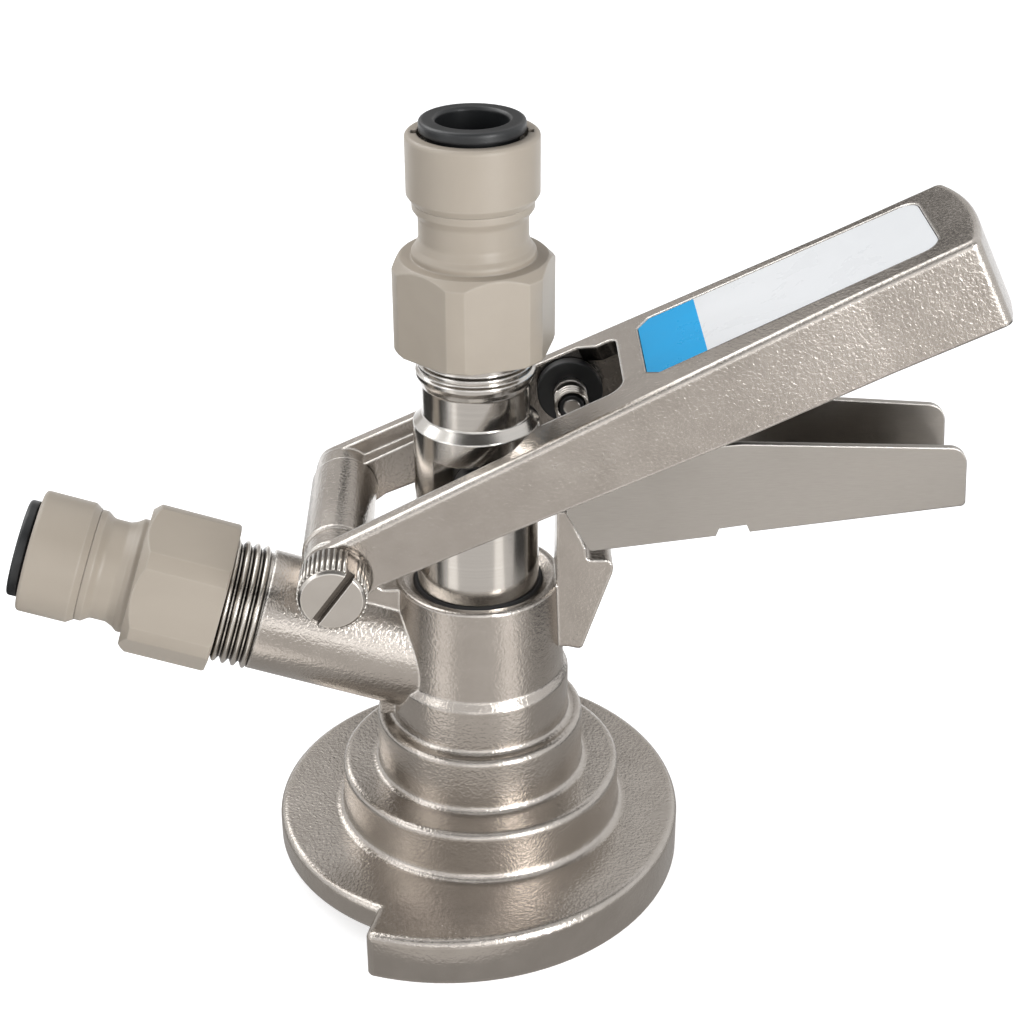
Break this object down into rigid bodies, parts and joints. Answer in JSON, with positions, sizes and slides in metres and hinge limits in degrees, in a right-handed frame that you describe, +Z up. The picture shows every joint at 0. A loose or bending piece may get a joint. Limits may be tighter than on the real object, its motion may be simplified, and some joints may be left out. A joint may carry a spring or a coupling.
{
  "type": "keg coupler",
  "caption": "Slide-on keg coupler: stepped cast body with side gas inlet, lever handle that lowers a ball-valve probe, sprung latch trigger and push-in tube fittings.",
  "frame": {"origin": "on the probe axis, in the lowest plane of the base", "axes": "+Z up the probe axis, +X the way the handle points, +Y to the left of somebody looking along the handle"},
  "size_m": [0.1744, 0.0866, 0.1434],
  "materials": {
    "cast_nickel": "satin nickel-plated casting with fine orange-peel grain",
    "turned_steel": "polished turned stainless steel",
    "sheet_steel": "stainless sheet brushed along its length",
    "screw_steel": "nickel-plated turned screw",
    "ball_steel": "polished ball",
    "fitting_plastic": "moulded acetal, warm grey",
    "black_plastic": "moulded black acetal",
    "seal_rubber": "black food-grade rubber",
    "label_film": "gloss label, white with a blue block at the hinge end"
  },
  "bodies": {
    "coupler": {"coupler_body": "cast_nickel", "body_seal": "seal_rubber", "probe_guide_oring": "seal_rubber", "probe_wiper": "seal_rubber", "gas_duckbill": "seal_rubber", "gas_tail_washer": "seal_rubber", "gas_fitting_body": "fitting_plastic", "gas_fitting_oring": "seal_rubber", "gas_fitting_cap": "fitting_plastic"},
    "gas_collet": {"gas_collet": "black_plastic"},
    "probe": {"probe": "turned_steel", "probe_tip_seal": "seal_rubber", "ball_retainer": "fitting_plastic", "beer_tail_washer": "seal_rubber", "beer_fitting_body": "fitting_plastic", "beer_fitting_oring": "seal_rubber", "beer_fitting_cap": "fitting_plastic"},
    "check_ball": {"check_ball": "ball_steel"},
    "beer_collet": {"beer_collet": "black_plastic"},
    "handle": {"handle": "cast_nickel", "label_plate": "label_film", "hinge_screw": "screw_steel", "drive_pins": "turned_steel", "drive_rollers": "black_plastic", "trigger_pins": "turned_steel", "trigger_bush": "black_plastic", "trigger_spacer": "black_plastic", "spring_sleeve": "black_plastic"},
    "trigger": {"trigger": "sheet_steel"}
  },
  "joints": [
    {"name": "handle_lift", "type": "hinge", "parent": "coupler", "child": "handle", "pos_m": [-0.0244, 0, 0.0701], "axis": [0, 1, 0], "range_deg": [0, 34]},
    {"name": "probe_slide", "type": "slide", "parent": "coupler", "child": "probe", "axis": [0, 0, 1], "range_m": [-0.01562, 0]},
    {"name": "trigger_squeeze", "type": "hinge", "parent": "handle", "child": "trigger", "pos_m": [0.017, 0, 0.0889], "axis": [0, -1, 0], "range_deg": [-5, 14], "stiffness_Nm_per_rad": 1.5},
    {"name": "beer_collet_press", "type": "slide", "parent": "probe", "child": "beer_collet", "axis": [0, 0, -1], "range_m": [0, 0.0015]},
    {"name": "gas_collet_press", "type": "slide", "parent": "coupler", "child": "gas_collet", "axis": [0.9521, 0, -0.3057], "range_m": [0, 0.0015]},
    {"name": "check_ball_lift", "type": "slide", "parent": "probe", "child": "check_ball", "axis": [0, 0, 1], "range_m": [0, 0.003]}
  ],
  "couplings": [
    {"joint": "probe_slide", "follows": "handle_lift", "m_per_rad": -0.026162}
  ]
}
